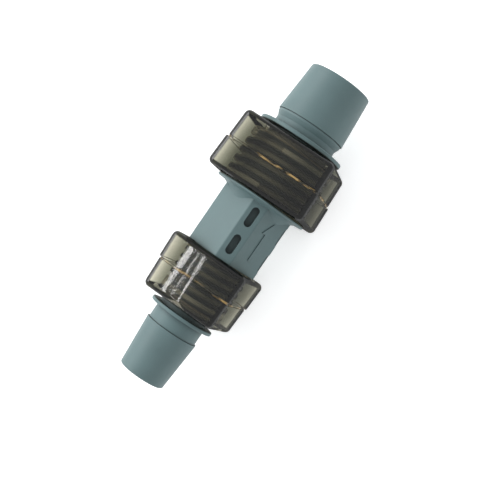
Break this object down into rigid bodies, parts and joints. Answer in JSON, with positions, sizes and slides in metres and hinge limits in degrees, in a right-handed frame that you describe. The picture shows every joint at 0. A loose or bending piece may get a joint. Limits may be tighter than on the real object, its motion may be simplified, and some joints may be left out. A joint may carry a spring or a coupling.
{
  "type": "check valve",
  "caption": "In-line spring check valve: square grey body, transparent union nuts, stepped pipe sockets of two sizes.",
  "frame": {"origin": "on the flow axis at the middle of the overall length", "axes": "+X along the flow axis, out of the large outlet socket; +Z square to one flat of the large union nut"},
  "size_m": [0.292, 0.0912, 0.0912],
  "materials": {
    "grey_pvc": "moulded, satin",
    "smoky_plastic": "clear smoky brown, polished",
    "white_pom": "moulded",
    "poppet_plastic": "moulded",
    "bearing_plastic": "smooth",
    "black_rubber": "moulded",
    "spring_steel": "drawn"
  },
  "bodies": {
    "valve_body": {"valve_body": "grey_pvc", "seat_ring": "white_pom", "seat_oring": "black_rubber", "cage_sleeve": "white_pom", "guide_spider": "white_pom", "guide_bush": "bearing_plastic", "retaining_ring": "spring_steel", "return_spring": "spring_steel", "large_face_oring": "black_rubber", "small_face_oring": "black_rubber"},
    "poppet": {"poppet": "poppet_plastic", "poppet_seal": "black_rubber", "seal_retainer": "poppet_plastic", "retainer_screw": "spring_steel", "stem_clip": "spring_steel", "spring_washer": "spring_steel"},
    "large_end": {"large_end_connector": "grey_pvc", "large_thrust_washer": "bearing_plastic", "large_stop_ring": "grey_pvc"},
    "large_nut": {"large_union_nut": "smoky_plastic"},
    "small_end": {"small_end_connector": "grey_pvc", "small_thrust_washer": "bearing_plastic", "small_stop_ring": "grey_pvc"},
    "small_nut": {"small_union_nut": "smoky_plastic"}
  },
  "joints": [
    {"name": "poppet_lift", "type": "slide", "parent": "valve_body", "child": "poppet", "axis": [1, 0, 0], "range_m": [0, 0.008], "stiffness_N_per_m": 300, "springref_m": -0.0055, "deforming": ["return_spring"]},
    {"name": "large_end_travel", "type": "slide", "parent": "valve_body", "child": "large_end", "axis": [1, 0, 0], "range_m": [0, 0.0425]},
    {"name": "large_nut_turn", "type": "hinge", "parent": "large_end", "child": "large_nut", "pos_m": [0.056, 0, 0], "axis": [1, 0, 0], "range_deg": [0, 1800]},
    {"name": "small_end_travel", "type": "slide", "parent": "valve_body", "child": "small_end", "axis": [-1, 0, 0], "range_m": [0, 0.0375]},
    {"name": "small_nut_turn", "type": "hinge", "parent": "small_end", "child": "small_nut", "pos_m": [-0.055, 0, 0], "axis": [-1, 0, 0], "range_deg": [0, 1800]}
  ],
  "couplings": [
    {"joint": "large_end_travel", "follows": "large_nut_turn", "m_per_rad": 0.0013528},
    {"joint": "small_end_travel", "follows": "small_nut_turn", "m_per_rad": 0.0011937}
  ]
}
